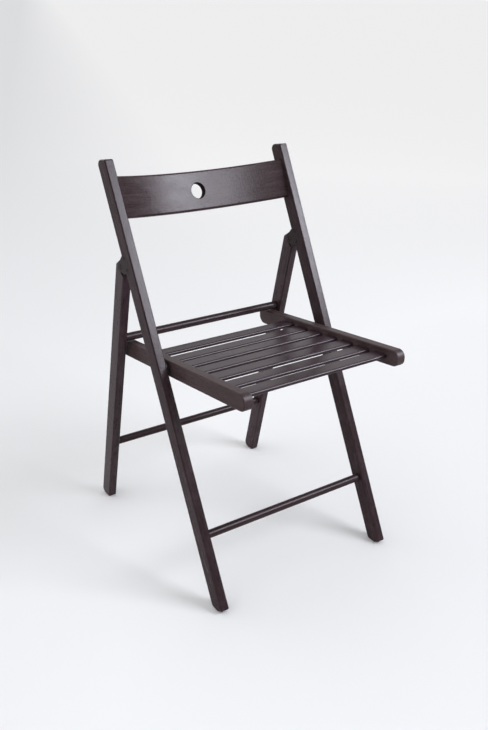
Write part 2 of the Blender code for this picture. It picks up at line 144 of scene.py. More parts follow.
# Places read from the frame
LEG_LOW, LEG_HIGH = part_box("long_leg_right")
LEG_INNER_X = LEG_LOW.x
LEG_THICKNESS = LEG_HIGH.x - LEG_LOW.x
LEG_MIDDLE_X = (LEG_LOW.x + LEG_HIGH.x) / 2
RAIL_LOW, RAIL_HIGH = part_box("seat_rail_right")
RAIL_INNER_X = RAIL_LOW.x
RAIL_OUTER_X = RAIL_HIGH.x
RAIL_THICKNESS = RAIL_HIGH.x - RAIL_LOW.x
RAIL_MIDDLE_X = (RAIL_LOW.x + RAIL_HIGH.x) / 2
RUNG_LOW, RUNG_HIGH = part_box("front_rung")
RUNG_RADIUS = (RUNG_HIGH.z - RUNG_LOW.z) / 2
RUNG_LENGTH = RUNG_HIGH.x - RUNG_LOW.x
LEG_HOLE_DEPTH = RUNG_LENGTH / 2 - LEG_INNER_X
SEAT_PIN_LOW, SEAT_PIN_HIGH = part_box("seat_pin_right")
SEAT_PIN_RADIUS = (SEAT_PIN_HIGH.z - SEAT_PIN_LOW.z) / 2
HINGE_STANDOFF = REAR_PIVOT_INSET + FOLDED_GAP
PANEL_RADIUS = (LEG_INNER_X ** 2 + PANEL_HOLLOW ** 2) / (2 * PANEL_HOLLOW)


def side_frame(place, lean):
    """Axes of a leaning side-view frame: X runs behind it, Y along it and Z across the chair."""
    c = math.cos(lean)
    s = math.sin(lean)
    return Matrix(((0, 0, 1, 0), (c, s, 0, place.y), (-s, c, 0, place.z), (0, 0, 0, 1)))


# The long legs' frame starts at the foot, on their front faces
FRONT = side_frame(SEAT_PIVOT, LONG_LEG_LEAN) @ Matrix.Translation((-LEG_DEPTH / 2, -SEAT_PIVOT_ALONG, 0))
PLATES = side_frame(HINGE, LONG_LEG_LEAN)
REAR = side_frame(HINGE, -REAR_LEG_LEAN)
SEAT = side_frame(SEAT_PIVOT, SEAT_TILT)


def panel_place():
    """Frame at the middle of the panel's hollow face: X across, Y to the back and Z up the panel."""
    lean = LONG_LEG_LEAN - PANEL_TILT
    c = math.cos(lean)
    s = math.sin(lean)
    end = FRONT @ Vector((PANEL_INSET, PANEL_ALONG, 0))
    middle = end + Vector((0, c, -s)) * PANEL_HOLLOW
    return Matrix(((1, 0, 0, 0), (0, c, s, middle.y), (0, -s, c, middle.z), (0, 0, 0, 1)))


PANEL = panel_place()


def box_middle(node):
    low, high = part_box(node)
    return (low + high) / 2


def floor_along(place, behind):
    """Distance along a leaning frame at which a line at the given depth meets the floor."""
    return -(place @ Vector((behind, 0, 0))).z / place[2][1]


def linear(hex_colour):
    """An sRGB hex colour as linear RGBA."""
    channels = [int(hex_colour[k:k + 2], 16) / 255 for k in (1, 3, 5)]
    return (*[c / 12.92 if c <= 0.04045 else ((c + 0.055) / 1.055) ** 2.4 for c in channels], 1)


def add_node(tree, kind, values=None, **settings):
    """Adds a node, sets its properties and fills or links its inputs."""
    made = tree.nodes.new(kind)
    for key, value in settings.items():
        setattr(made, key, value)
    for key, value in (values or {}).items():
        socket = made.inputs[key]
        if isinstance(value, bpy.types.NodeSocket):
            tree.links.new(value, socket)
        else:
            socket.default_value = value
    return made


# Materials

def new_material(name):
    material = bpy.data.materials.new(name)
    material.use_nodes = True
    material.node_tree.nodes.clear()
    return material, material.node_tree


def noise_layers(tree, coordinates, layers):
    """Noise patterns by name, each from its spot size across and along the third axis and its detail."""
    patterns = {}
    for name, (across, along, detail) in layers.items():
        drawn_out = add_node(tree, "ShaderNodeMapping", {
            "Vector": coordinates, "Scale": (1 / across, 1 / across, 1 / along)})
        noise = add_node(tree, "ShaderNodeTexNoise", {
            "Vector": drawn_out.outputs["Vector"], "Scale": 1.0, "Detail": detail, "Roughness": 0.58})
        patterns[name] = noise.outputs["Fac"]
    return patterns


def stained_beech(name, stain, gloss, dull, turn=None, bore=0):
    """Beech stained brown-black under satin lacquer; the grain runs along the third axis once turned.

    The stain, from its darkest to its thinnest colour, takes unevenly, so soft streaks, cloudy patches and
    the short dark flecks of beech show through, and the planed face has faint ripples across the grain.
    The tones given for each piece also hold painted light and shade.
    Streaks and flecks are drawn about twice as coarse as real ones so that they show in the picture.
    Without a turn the pattern follows the mesh's own grain attribute, round the bend of the panel.
    A bore through its middle has a darker, duller wall: painted shade inside the hole, together with the
    deeper stain that end grain drinks in.
    """
    material, tree = new_material(name)
    if turn is None:
        coordinates = add_node(tree, "ShaderNodeAttribute", attribute_name="grain").outputs["Vector"]
    else:
        place = add_node(tree, "ShaderNodeTexCoord").outputs["Object"]
        turned_place = add_node(tree, "ShaderNodeMapping", {"Vector": place, "Rotation": turn})
        coordinates = turned_place.outputs["Vector"]
    wood = noise_layers(tree, coordinates, {
        "streaks": (0.0045, 0.14, 4), "clouds": (0.022, 0.05, 3), "flecks": (0.0018, 0.011, 2),
        "ripples": (0.014, 0.0035, 1)})
    streak = add_node(tree, "ShaderNodeMapRange", {
        "Value": wood["streaks"], "From Min": 0.33, "From Max": 0.67})
    streaky = add_node(tree, "ShaderNodeMix", {
        0: streak.outputs[0], 6: linear(stain[0]), 7: linear(stain[1])}, data_type="RGBA")
    cloud = add_node(tree, "ShaderNodeMapRange", {
        "Value": wood["clouds"], "From Min": 0.4, "From Max": 0.72, "To Max": 0.6})
    cloudy = add_node(tree, "ShaderNodeMix", {
        0: cloud.outputs[0], 6: streaky.outputs[2], 7: linear(stain[2])}, data_type="RGBA")
    fleck = add_node(tree, "ShaderNodeMapRange", {
        "Value": wood["flecks"], "From Min": 0.56, "From Max": 0.68, "To Max": 0.6})
    colour = add_node(tree, "ShaderNodeMix", {
        0: fleck.outputs[0], 6: cloudy.outputs[2], 7: linear(FLECK_AND_BORE_SHADE)}, data_type="RGBA")
    sheen = add_node(tree, "ShaderNodeMath", {
        0: wood["streaks"], 1: 0.4, 2: wood["clouds"]}, operation="MULTIPLY_ADD")
    roughness = add_node(tree, "ShaderNodeMapRange", {
        "Value": sheen.outputs[0], "From Min": 0.5, "From Max": 0.9, "To Min": dull[0], "To Max": dull[1]})
    # Painted shade inside the bore, with end grain's deeper stain: the wall darkens towards the fleck
    # colour and dulls
    if bore:
        darkest_reach = bore + 0.6 * HOLE_RIM_ROUND
        bore_plain_face = bore + 1.4 * HOLE_RIM_ROUND
        on_face = add_node(tree, "ShaderNodeVectorMath", {
            0: coordinates, 1: (0, 1, 1)}, operation="MULTIPLY")
        reach = add_node(tree, "ShaderNodeVectorMath", {0: on_face.outputs[0]}, operation="LENGTH")
        shade_and_soak = add_node(tree, "ShaderNodeMapRange", {
            "Value": reach.outputs["Value"], "From Min": darkest_reach, "From Max": bore_plain_face,
            "To Min": 0.85, "To Max": 0.0})
        colour = add_node(tree, "ShaderNodeMix", {
            0: shade_and_soak.outputs[0], 6: colour.outputs[2], 7: linear(FLECK_AND_BORE_SHADE)}, data_type="RGBA")
        roughness = add_node(tree, "ShaderNodeMath", {
            0: shade_and_soak.outputs[0], 1: 0.8, 2: roughness.outputs[0]}, operation="MULTIPLY_ADD")
    relief = add_node(tree, "ShaderNodeMath", {
        0: fleck.outputs[0], 1: -0.4, 2: wood["ripples"]}, operation="MULTIPLY_ADD")
    bump = add_node(tree, "ShaderNodeBump", {
        "Height": relief.outputs[0], "Strength": 0.4, "Distance": 0.0003})
    shader = add_node(tree, "ShaderNodeBsdfPrincipled", {
        "Base Color": colour.outputs[2], "Roughness": roughness.outputs[0], "Specular IOR Level": gloss,
        "Normal": bump.outputs["Normal"]})
    add_node(tree, "ShaderNodeOutputMaterial", {"Surface": shader.outputs["BSDF"]})
    return material


def mottled(name, spots, colours, roughness, relief, metallic=0.0, gloss=0.5):
    """A fine-skinned finish, mottled between two colours and two roughnesses in spots of the given size."""
    material, tree = new_material(name)
    place = add_node(tree, "ShaderNodeTexCoord").outputs["Object"]
    skin = noise_layers(tree, place, {"mottle": (spots, spots, 4), "peel": (spots / 4, spots / 4, 2)})
    mottle = add_node(tree, "ShaderNodeMapRange", {
        "Value": skin["mottle"], "From Min": 0.38, "From Max": 0.68})
    colour = add_node(tree, "ShaderNodeMix", {
        0: mottle.outputs[0], 6: linear(colours[0]), 7: linear(colours[1])}, data_type="RGBA")
    dull = add_node(tree, "ShaderNodeMapRange", {
        "Value": mottle.outputs[0], "To Min": roughness[0], "To Max": roughness[1]})
    bump = add_node(tree, "ShaderNodeBump", {"Height": skin["peel"], "Strength": 0.3, "Distance": relief})
    shader = add_node(tree, "ShaderNodeBsdfPrincipled", {
        "Base Color": colour.outputs[2], "Roughness": dull.outputs[0], "Metallic": metallic,
        "Specular IOR Level": gloss, "Normal": bump.outputs["Normal"]})
    add_node(tree, "ShaderNodeOutputMaterial", {"Surface": shader.outputs["BSDF"]})
    return material


# The chair's one stain in five tones, each from its darkest streak to its thinnest cloud; the tones differ
# from piece to piece as painted light and shade
DEEP_STAIN_AND_SHADING = ("#2e2124", "#382c2e", "#403337")
FULL_STAIN_AND_SHADING = ("#291c21", "#33252b", "#3d2f38")
PALE_STAIN_AND_SHADING = ("#302326", "#3c2e33", "#46383e")
PANEL_STAIN_AND_SHADING = ("#332728", "#3f3234", "#493c40")
BROWN_STAIN_AND_SHADING = ("#36292a", "#423435", "#4c3e40")
# Colour of beech's dark flecks, also used for the painted shade on a bore's wall
FLECK_AND_BORE_SHADE = "#150d0e"

# Woods, with their gloss, their range of roughness and the turn that lays the grain along the piece
LONG_LEG_WOOD = stained_beech(
    "stained_beech_long_legs", DEEP_STAIN_AND_SHADING, 0.065, (0.21, 0.3), (LONG_LEG_LEAN, 0, 0))
REAR_LEG_WOOD = stained_beech(
    "stained_beech_rear_legs", PALE_STAIN_AND_SHADING, 0.14, (0.24, 0.34), (-REAR_LEG_LEAN, 0, 0))
RAIL_WOOD = stained_beech(
    "stained_beech_rails", BROWN_STAIN_AND_SHADING, 0.11, (0.42, 0.52), (SEAT_TILT + QUARTER, 0, 0))
SLAT_WOOD = stained_beech(
    "stained_beech_slats", FULL_STAIN_AND_SHADING, 0.1, (0.27, 0.36), (0, -QUARTER, 0))
RUNG_WOOD = stained_beech(
    "stained_beech_rungs", DEEP_STAIN_AND_SHADING, 0.05, (0.24, 0.34), (0, -QUARTER, 0))
PANEL_WOOD = stained_beech(
    "stained_beech_bent_panel", PANEL_STAIN_AND_SHADING, 0.056, (0.2, 0.29), bore=PANEL_HOLE_RADIUS)

# Sheet steel sprayed dark brown to match the stain, with an orange-peel skin of slightly uneven colour
PAINTED_STEEL = mottled(
    "painted_steel", 0.007, ("#221719", "#2e2325"), (0.36, 0.5), 0.0001, gloss=0.12)
# Bright zinc on a turned steel pin, dulled in patches by handling
ZINC_STEEL = mottled(
    "zinc_plated_steel", 0.003, ("#a9aaa8", "#83837f"), (0.28, 0.46), 0.00002, metallic=1.0)
# Moulded black nylon, faintly mottled under a soft satin skin
NYLON = mottled(
    "black_nylon", 0.003, ("#191919", "#242323"), (0.42, 0.55), 0.00008)


# Shapes

def new_object(name, mesh):
    thing = bpy.data.objects.new(name, mesh)
    bpy.context.scene.collection.objects.link(thing)
    return thing


def discard(*things):
    for thing in things:
        bpy.data.objects.remove(thing, do_unlink=True)


def rounded(corners):
    """Outline through corners given as (x, y, radius), with an arc in place of each round corner."""
    points = []
    for index, (x, y, radius) in enumerate(corners):
        corner = Vector((x, y))
        if radius == 0:
            points.append(corner)
            continue
        back = (Vector(corners[index - 1][:2]) - corner).normalized()
        ahead = (Vector(corners[(index + 1) % len(corners)][:2]) - corner).normalized()
        half = back.angle(ahead) / 2
        centre = corner + (back + ahead).normalized() * (radius / math.sin(half))
        spoke = corner + back * (radius / math.tan(half)) - centre
        turn = math.copysign(math.pi - 2 * half, ahead.cross(back))
        steps = max(2, math.ceil(abs(turn) / ARC_STEP))
        points += [centre + Matrix.Rotation(turn * k / steps, 2) @ spoke for k in range(steps + 1)]
    return points


def arc(centre, radius, start, end):
    """Corners along an arc, without rounding of their own."""
    steps = math.ceil(abs(end - start) / ARC_STEP)
    turns = [start + (end - start) * k / steps for k in range(steps + 1)]
    return [(centre[0] + radius * math.cos(t), centre[1] + radius * math.sin(t), 0) for t in turns]


def bar(name, outline, length, place, x=0, edge_round=0):
    """A closed bar with the given outline, centred on x along the third axis of its place."""
    mesh = bpy.data.meshes.new(name)
    shape = bmesh.new()
    ends = []
    for side in (-1, 1):
        ends.append([shape.verts.new((p[0], p[1], x + side * length / 2)) for p in outline])
    shape.faces.new(ends[0])
    shape.faces.new(ends[1])
    for k in range(len(outline)):
        shape.faces.new((ends[0][k - 1], ends[0][k], ends[1][k], ends[1][k - 1]))
    bmesh.ops.transform(shape, matrix=place, verts=shape.verts)
    bmesh.ops.recalc_face_normals(shape, faces=shape.faces)
    shape.to_mesh(mesh)
    shape.free()
    thing = new_object(name, mesh)
    if edge_round:
        bevel = thing.modifiers.new("edge_round", "BEVEL")
        bevel.width = edge_round
        bevel.segments = EDGE_SEGMENTS
        bevel.limit_method = "ANGLE"
        bevel.angle_limit = SHARP_ANGLE
    return thing


def turned(name, profile, place, sides=ROUND_SIDES):
    """A body of revolution about its place's third axis, from a closed profile of (radius, along)."""
    mesh = bpy.data.meshes.new(name)
    shape = bmesh.new()
    rings = []
    for k in range(sides):
        turn = 2 * math.pi * k / sides
        rings.append([shape.verts.new((r * math.cos(turn), r * math.sin(turn), z)) for r, z in profile])
    for k in range(sides):
        for j in range(len(profile)):
            shape.faces.new((rings[k - 1][j - 1], rings[k - 1][j], rings[k][j], rings[k][j - 1]))
    bmesh.ops.remove_doubles(shape, verts=shape.verts, dist=1e-7)
    bmesh.ops.transform(shape, matrix=place, verts=shape.verts)
    bmesh.ops.recalc_face_normals(shape, faces=shape.faces)
    shape.to_mesh(mesh)
    shape.free()
    return new_object(name, mesh)


def rod(name, radius, length, place, at, sides=ROUND_SIDES):
    """A plain round cutter along the third axis of its place, centred on a point there."""
    profile = ((0, -length / 2), (radius, -length / 2), (radius, length / 2), (0, length / 2))
    return turned(name, profile, place @ Matrix.Translation(at), sides)


def plain(thing):
    """Turns an object with its modifiers into a plain mesh."""
    evaluated = thing.evaluated_get(bpy.context.evaluated_depsgraph_get())
    mesh = bpy.data.meshes.new_from_object(evaluated)
    thing.modifiers.clear()
    thing.data = mesh


def cut(thing, *cutters):
    for cutter in cutters:
        modifier = thing.modifiers.new(cutter.name, "BOOLEAN")
        modifier.operation = "DIFFERENCE"
        modifier.object = cutter
    plain(thing)
    discard(*cutters)


def keep(thing, body, slot, material, *nodes):
    """Finishes a piece's shading and puts it in the frame in place of CAD nodes."""
    mesh = thing.data
    mesh.materials.clear()
    mesh.materials.append(material)
    mesh.shade_smooth()
    mesh.set_sharp_from_angle(angle=SHARP_ANGLE)
    smooth = thing.modifiers.new("flat_faces_stay_flat", "WEIGHTED_NORMAL")
    smooth.keep_sharp = True
    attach(thing, body)
    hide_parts(*nodes)


# Geometry Nodes trees, each run on points that mark the places of its pieces

def new_tree(name, inputs):
    tree = bpy.data.node_groups.new(name, "GeometryNodeTree")
    tree.interface.new_socket("Places", in_out="INPUT", socket_type="NodeSocketGeometry")
    for label, kind in inputs.items():
        tree.interface.new_socket(label, in_out="INPUT", socket_type="NodeSocket" + kind)
    tree.interface.new_socket("Pieces", in_out="OUTPUT", socket_type="NodeSocketGeometry")
    return tree, add_node(tree, "NodeGroupInput").outputs


def end_tree(tree, given, instance, rotation):
    """Sets the instance on every place, makes it real and gives it its material."""
    placed = add_node(tree, "GeometryNodeInstanceOnPoints", {
        "Points": given["Places"], "Instance": instance, "Rotation": rotation})
    real = add_node(tree, "GeometryNodeRealizeInstances", {"Geometry": placed.outputs["Instances"]})
    finished = add_node(tree, "GeometryNodeSetMaterial", {
        "Geometry": real.outputs["Geometry"], "Material": given["Material"]})
    add_node(tree, "NodeGroupOutput", {"Pieces": finished.outputs["Geometry"]})
    return tree


def swept(tree, given, profile):
    """A profile swept along a straight line across the chair, of the given length."""
    half = add_node(tree, "ShaderNodeMath", {0: given["Length"], 1: 0.5}, operation="MULTIPLY").outputs[0]
    other = add_node(tree, "ShaderNodeMath", {0: half, 1: -1.0}, operation="MULTIPLY").outputs[0]
    start = add_node(tree, "ShaderNodeCombineXYZ", {"X": other}).outputs["Vector"]
    end = add_node(tree, "ShaderNodeCombineXYZ", {"X": half}).outputs["Vector"]
    path = add_node(tree, "GeometryNodeCurvePrimitiveLine", {"Start": start, "End": end})
    made = add_node(tree, "GeometryNodeCurveToMesh", {
        "Curve": path.outputs["Curve"], "Profile Curve": profile, "Fill Caps": True})
    return made.outputs["Mesh"]


def slat_tree():
    """Flat slats with well rounded edges, tilted with the seat."""
    tree, given = new_tree("seat_slats", {
        "Width": "Float", "Thickness": "Float", "Length": "Float", "Edge Round": "Float",
        "Tilt": "Float", "Material": "Material"})
    section = add_node(tree, "GeometryNodeCurvePrimitiveQuadrilateral", {
        "Width": given["Width"], "Height": given["Thickness"]})
    eased = add_node(tree, "GeometryNodeFilletCurve", {
        "Curve": section.outputs["Curve"], "Radius": given["Edge Round"], "Count": 8}, mode="POLY")
    slat = swept(tree, given, eased.outputs["Curve"])
    tilt = add_node(tree, "ShaderNodeCombineXYZ", {"X": given["Tilt"]}).outputs["Vector"]
    return end_tree(tree, given, slat, tilt)


def rung_tree():
    """Round rungs across the chair."""
    tree, given = new_tree("round_rungs", {
        "Radius": "Float", "Length": "Float", "Sides": "Int", "Material": "Material"})
    section = add_node(tree, "GeometryNodeCurvePrimitiveCircle", {
        "Radius": given["Radius"], "Resolution": given["Sides"]})
    return end_tree(tree, given, swept(tree, given, section.outputs["Curve"]), (0.0, 0.0, 0.0))


def head_tree():
    """Low domed rivet heads, facing sideways."""
    tree, given = new_tree("domed_heads", {"Radius": "Float", "Dome": "Float", "Material": "Material"})
    ball = add_node(tree, "GeometryNodeMeshUVSphere", {"Segments": 32, "Rings": 16, "Radius": 1.0})
    size = add_node(tree, "ShaderNodeCombineXYZ", {
        "X": given["Radius"], "Y": given["Radius"], "Z": given["Dome"]}).outputs["Vector"]
    dome = add_node(tree, "GeometryNodeTransform", {"Geometry": ball.outputs["Mesh"], "Scale": size})
    return end_tree(tree, given, dome.outputs["Geometry"], (0.0, QUARTER, 0.0))


def grown(name, tree, places, values):
    """Runs a tree on points at the given places and keeps the result as a plain mesh."""
    mesh = bpy.data.meshes.new(name)
    mesh.from_pydata([tuple(place) for place in places], [], [])
    thing = new_object(name, mesh)
    modifier = thing.modifiers.new("grow", "NODES")
    modifier.node_group = tree
    for item in tree.interface.items_tree:
        if item.in_out == "INPUT" and item.name in values:
            modifier[item.identifier] = values[item.name]
    plain(thing)
    return thing


# Outlines

def long_leg_outline():
    floor_back = floor_along(FRONT, LEG_DEPTH)
    level_start = LONG_LEG_TOE / math.tan(LONG_LEG_LEAN)
    return rounded((
        (0, LONG_LEG_TOE, LEG_CORNER_ROUND),
        (level_start, LONG_LEG_TOE, 0),
        (LEG_DEPTH, floor_back, LONG_FOOT_ROUND),
        (LEG_DEPTH, LONG_LEG_LENGTH + LEG_DEPTH * math.tan(LEG_TOP_SLOPE), LEG_TOP_ROUND),
        (0, LONG_LEG_LENGTH, LEG_CORNER_ROUND),
    ))


def rear_leg_outline():
    """The head is mitred to lie against the long leg's back face, which stops the frame when it is open."""
    front_x = -REAR_PIVOT_INSET
    back_x = LEG_DEPTH - REAR_PIVOT_INSET
    turn = Matrix.Rotation(-FOLD_ANGLE, 2)
    tip = turn @ Vector((GAP - HINGE_STANDOFF, HEAD_RISE))
    mitre = turn @ Vector((0, 1))
    top = turn @ Vector((math.cos(HEAD_SLOPE), -math.sin(HEAD_SLOPE)))
    mitre_start = tip + mitre * ((front_x - tip.x) / mitre.x)
    top_end = tip + top * ((back_x - tip.x) / top.x)
    return rounded((
        (front_x, floor_along(REAR, front_x), LEG_CORNER_ROUND),
        (back_x, floor_along(REAR, back_x), REAR_FOOT_ROUND),
        (back_x, top_end.y, HEAD_ROUND),
        (tip.x, tip.y, HEAD_ROUND),
        (front_x, mitre_start.y, 0),
    ))


def lobe_tangent(point, radius):
    """Angle at which a line from the point touches the plate's round lobe about the pin."""
    away = math.acos(radius / point.length)
    return math.atan2(point.y, point.x) - math.copysign(away, point.y)


def plate_outline(clearance):
    """Hinge plate about its pin: a let-in front, with a round lobe that carries the rear leg."""
    lobe = PLATE_LOBE_RADIUS + clearance
    half = PLATE_HALF_HEIGHT + clearance
    waist = PLATE_HALF_WAIST + clearance
    front = -(HINGE_STANDOFF + PLATE_LET_IN + clearance)
    upper = Vector((-HINGE_STANDOFF, waist))
    lower = Vector((-HINGE_STANDOFF, -waist))
    return rounded((
        (front, -half, PLATE_CORNER_ROUND),
        (*lower, 0),
        *arc((0, 0), lobe, lobe_tangent(lower, lobe), lobe_tangent(upper, lobe)),
        (*upper, 0),
        (front, half, PLATE_CORNER_ROUND),
    ))


def head_recess_outline():
    """Ground that a hinge plate sweeps over the rear leg's head, from open to folded."""
    lobe = PLATE_LOBE_RADIUS + GAP
    waist = PLATE_HALF_WAIST + GAP
    reach = HINGE_STANDOFF + PLATE_LET_IN + PLATE_HALF_HEIGHT
    lower = Vector((-HINGE_STANDOFF, -waist))
    upper = Vector((-HINGE_STANDOFF, waist))
    upper_angle = lobe_tangent(upper, lobe) - FOLD_ANGLE
    upper.rotate(Matrix.Rotation(-FOLD_ANGLE, 2))
    return rounded((
        (-reach, -waist, 0),
        (*lower, 0),
        *arc((0, 0), lobe, lobe_tangent(lower, lobe), upper_angle),
        (*upper, 0),
        (-reach, reach, 0),
    ))


def rail_outline():
    half = RAIL_HEIGHT / 2
    rear_reach = (SEAT.inverted() @ box_middle("upper_rung")).x + RAIL_PAST_RUNG
    return rounded((
        (-RAIL_FRONT_REACH, -half, NOSE_BOTTOM_ROUND),
        (rear_reach, -half, TAIL_BOTTOM_ROUND),
        (rear_reach, half, TAIL_TOP_ROUND),
        (-RAIL_FRONT_REACH, half, NOSE_TOP_ROUND),
    ))


def slat_housing_outline(centre):
    """Section of a slat with clearance, about its centre in the seat's frame."""
    across = SLAT_WIDTH / 2 + GAP
    up = SLAT_THICKNESS / 2 + GAP
    radius = SLAT_EDGE_ROUND + GAP
    return rounded((
        (centre.x - across, centre.y - up, radius),
        (centre.x + across, centre.y - up, radius),
        (centre.x + across, centre.y + up, radius),
        (centre.x - across, centre.y + up, radius),
    ))


def panel_outline(clearance=0):
    """Plan of the bent panel: two arcs about one centre in front of it, cut square to the legs."""
    end_x = LEG_INNER_X + PANEL_HOUSING + clearance
    outline = []
    for radius, way in ((PANEL_RADIUS - clearance, -1), (PANEL_RADIUS + PANEL_THICKNESS + clearance, 1)):
        reach = math.asin(end_x / radius)
        for k in range(PANEL_STEPS + 1):
            angle = way * reach * (1 - 2 * k / PANEL_STEPS)
            outline.append((radius * math.sin(angle), radius * math.cos(angle) - PANEL_RADIUS))
    return outline


# Pieces

def hole_profile():
    """Cutter for the panel's hole, which flares a little where it meets the two faces."""
    rim = []
    for k in range(EDGE_SEGMENTS + 1):
        turn = QUARTER * k / EDGE_SEGMENTS
        flare = HOLE_RIM_ROUND * (1 - math.cos(turn))
        rim.append((PANEL_HOLE_RADIUS + flare, HOLE_RIM_ROUND * math.sin(turn)))
    widest = PANEL_HOLE_RADIUS + HOLE_RIM_ROUND
    back = [(r, PANEL_THICKNESS - HOLE_RIM_ROUND + z) for r, z in rim]
    front = [(r, HOLE_RIM_ROUND - z) for r, z in reversed(rim)]
    reach = PANEL_HOLE_RADIUS
    return [(0, -reach), (widest, -reach), *front, *back, (widest, PANEL_THICKNESS + reach),
            (0, PANEL_THICKNESS + reach)]


def write_panel_grain(mesh):
    """Grain coordinates that follow the bend: depth, height and length round the arc."""
    to_panel = PANEL.inverted()
    grain = mesh.attributes.new("grain", "FLOAT_VECTOR", "POINT")
    for vertex, item in zip(mesh.vertices, grain.data):
        x, y, z = to_panel @ vertex.co
        turn = math.atan2(x, y + PANEL_RADIUS)
        item.vector = (math.hypot(x, y + PANEL_RADIUS) - PANEL_RADIUS, z, turn * PANEL_RADIUS)


def make_panel():
    panel = bar("bent_back_panel", panel_outline(), PANEL_HEIGHT, PANEL, edge_round=PANEL_EDGE_ROUND)
    through = PANEL @ Matrix.Rotation(-QUARTER, 4, "X")
    cut(panel, turned("panel_hole", hole_profile(), through))
    write_panel_grain(panel.data)
    keep(panel, FRONT_BODY, "stained_wood", PANEL_WOOD, "back_panel")


def faces_of_leg(way):
    """The outer and inner face of one side's legs: name, outward direction and place across the chair."""
    middle = way * LEG_MIDDLE_X
    half = way * LEG_THICKNESS / 2
    return (("outer", way, middle + half), ("inner", -way, middle - half))


def blind_hole(name, radius, way, place, centre):
    """Round cutter from a leg's inner face outwards, about a centre given in the chair's frame."""
    length = LEG_HOLE_DEPTH + GAP + CUT_OVERRUN
    x = way * (LEG_INNER_X + LEG_HOLE_DEPTH + GAP - length / 2)
    at = place.inverted() @ centre
    return rod(name, radius + GAP, length, place, (at.x, at.y, x))


def plate_grounds(name, outline, way, place):
    """Cutters that sink the ground under the plates into both faces of a leg."""
    depth = PLATE_THICKNESS + GAP + CUT_OVERRUN
    cutters = []
    for face, outward, face_x in faces_of_leg(way):
        x = face_x + outward * (CUT_OVERRUN - depth / 2)
        cutters.append(bar(f"{name}_{face}", outline, depth, place, x))
    return cutters


def make_long_leg(side, way):
    middle = way * LEG_MIDDLE_X
    leg = bar(side + "_long_leg", long_leg_outline(), LEG_THICKNESS, FRONT, middle, LEG_EDGE_ROUND)
    cut(
        leg,
        bar("panel_housing", panel_outline(GAP), PANEL_HEIGHT + 2 * GAP, PANEL),
        blind_hole("rung_hole", RUNG_RADIUS, way, FRONT, box_middle("front_rung")),
        blind_hole("pin_hole", SEAT_PIN_RADIUS, way, FRONT, SEAT_PIVOT),
        *plate_grounds("plate_pocket", plate_outline(GAP), way, PLATES),
    )
    keep(leg, FRONT_BODY, "stained_wood", LONG_LEG_WOOD, "long_leg_" + side)


def make_rear_leg(side, way):
    middle = way * LEG_MIDDLE_X
    leg = bar(side + "_rear_leg", rear_leg_outline(), LEG_THICKNESS, REAR, middle, LEG_EDGE_ROUND)
    through = LEG_THICKNESS + 2 * CUT_OVERRUN
    cut(
        leg,
        blind_hole("upper_hole", RUNG_RADIUS, way, REAR, box_middle("upper_rung")),
        blind_hole("lower_hole", RUNG_RADIUS, way, REAR, box_middle("lower_rung")),
        rod("head_bore", PIN_HEAD_RADIUS + GAP, through, REAR, (0, 0, middle)),
        *plate_grounds("head_recess", head_recess_outline(), way, REAR),
    )
    keep(leg, REAR_BODY, "stained_wood", REAR_LEG_WOOD, "rear_leg_" + side)


# Middles of the rivets about the hinge pin, in the plates' frame
RIVET_X = RIVET_INSET - HINGE_STANDOFF - PLATE_LET_IN
RIVETS = [Vector((RIVET_X, k * RIVET_SPREAD / 2, 0)) for k in (-1, 1)]


def make_plates(side, way):
    through = PLATE_THICKNESS + 2 * CUT_OVERRUN
    for face, outward, face_x in faces_of_leg(way):
        x = face_x - outward * PLATE_THICKNESS / 2
        name = f"{side}_{face}_plate"
        plate = bar(name, plate_outline(0), PLATE_THICKNESS, PLATES, x, PLATE_EDGE_ROUND)
        pin_hole = PIN_HEAD_RADIUS + GAP
        holes = [rod("pin_head_hole", pin_hole, through, PLATES, (0, 0, x), SMALL_ROUND_SIDES)]
        for rivet in RIVETS:
            rivet_hole = RIVET_HEAD_RADIUS + GAP
            at = (rivet.x, rivet.y, x)
            holes.append(rod("rivet_hole", rivet_hole, through, PLATES, at, SMALL_ROUND_SIDES))
        cut(plate, *holes)
        keep(plate, FRONT_BODY, "painted_steel", PAINTED_STEEL, f"hinge_plate_{face}_{side}")


def make_heads():
    """Rivet and pin heads of all four plates, their tops level with the plates' faces."""
    rivet_places = []
    pin_places = []
    for side, way in SIDES:
        for face, outward, face_x in faces_of_leg(way):
            level = Vector((0, 0, face_x - outward * HEAD_DOME))
            pin_places.append(PLATES @ level)
            rivet_places += [PLATES @ (rivet + level) for rivet in RIVETS]
    tree = head_tree()
    values = {"Radius": RIVET_HEAD_RADIUS, "Dome": HEAD_DOME, "Material": PAINTED_STEEL}
    rivets = grown("plate_rivet_heads", tree, rivet_places, values)
    rivet_nodes = [f"plate_rivet_{level}_{side}" for side, _ in SIDES for level in ("lower", "upper")]
    keep(rivets, FRONT_BODY, "painted_steel", PAINTED_STEEL, *rivet_nodes)
    pins = grown("hinge_pin_heads", tree, pin_places, {**values, "Radius": PIN_HEAD_RADIUS})
    keep(pins, FRONT_BODY, "painted_steel", PAINTED_STEEL, *[f"hinge_pin_{side}" for side, _ in SIDES])


def make_rungs():
    tree = rung_tree()
    values = {"Radius": RUNG_RADIUS, "Length": RUNG_LENGTH, "Sides": ROUND_SIDES, "Material": RUNG_WOOD}
    front = grown("front_round_rung", tree, [box_middle("front_rung")], values)
    keep(front, FRONT_BODY, "stained_wood", RUNG_WOOD, "front_rung")
    rear = grown("rear_round_rungs", tree, [box_middle("upper_rung"), box_middle("lower_rung")], values)
    keep(rear, REAR_BODY, "stained_wood", RUNG_WOOD, "upper_rung", "lower_rung")


